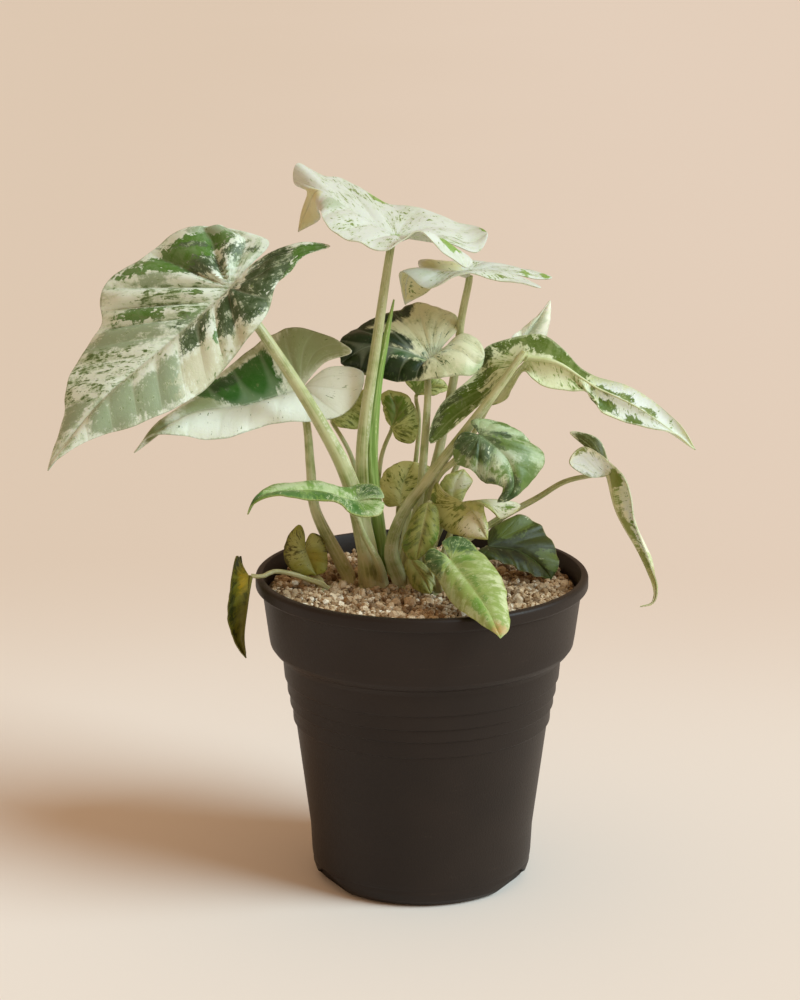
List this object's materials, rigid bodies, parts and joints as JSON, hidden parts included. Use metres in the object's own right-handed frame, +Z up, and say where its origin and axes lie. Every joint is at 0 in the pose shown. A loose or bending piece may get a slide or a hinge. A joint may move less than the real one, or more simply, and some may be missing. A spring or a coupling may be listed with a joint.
{
  "type": "potted plant",
  "caption": "Variegated alocasia with shield-shaped cream and green leaves on upright stalks, in a round dark nursery pot filled with pumice.",
  "frame": {"origin": "middle of the pot's flat underside, on the surface it stands on", "axes": "+Z up along the pot's axis; -Y towards the viewer, the side that shows the most leaf faces; +X to the viewer's right"},
  "size_m": [0.2254, 0.1313, 0.2596],
  "materials": {
    "pot_plastic": "thin black-brown nursery pot plastic, matte, slightly translucent look",
    "pumice": "loose beige to pinkish pumice gravel, 2 to 5 mm grains, light and porous (wood stands for its low density)",
    "stems": "cream to olive fleshy stalks, faintly striped, soft sheen",
    "leaf_white": "creamy white variegated blade with green flecks, satin",
    "leaf_mixed": "blade mottled cream, grey-green and green, satin with raised veins",
    "leaf_green": "bright green blade, satin",
    "leaf_dark": "dark green blade with lighter veins, satin",
    "leaf_cream": "beige to olive cream blade with brown-green specks, satin"
  },
  "bodies": {
    "root": {"pot": "pot_plastic", "pumice": "pumice", "stems_left": "stems", "stems_centre": "stems", "stems_right": "stems", "stems_front": "stems", "stems_back": "stems", "stems_side": "stems", "leaf_rolled": "leaf_green", "leaf_big_left": "leaf_mixed", "leaf_low_left": "leaf_mixed", "leaf_top_white": "leaf_white", "leaf_top_right": "leaf_white", "leaf_centre_dark": "leaf_mixed", "leaf_big_right": "leaf_mixed", "leaf_small_dark": "leaf_dark", "leaf_far_right": "leaf_mixed", "leaf_front_left": "leaf_green", "leaf_pot_left": "leaf_dark", "leaf_hanging_left": "leaf_dark", "leaf_front_right": "leaf_green", "leaf_pot_right": "leaf_dark", "leaf_cream_front": "leaf_cream", "leaf_cream_up": "leaf_cream", "leaf_cream_low": "leaf_cream", "leaf_cream_curl": "leaf_cream", "leaf_back_speckled": "leaf_cream", "leaf_back_cream": "leaf_cream", "leaf_back_round": "leaf_cream", "leaf_back_small": "leaf_cream", "leaf_back_pale": "leaf_white"}
  },
  "joints": []
}
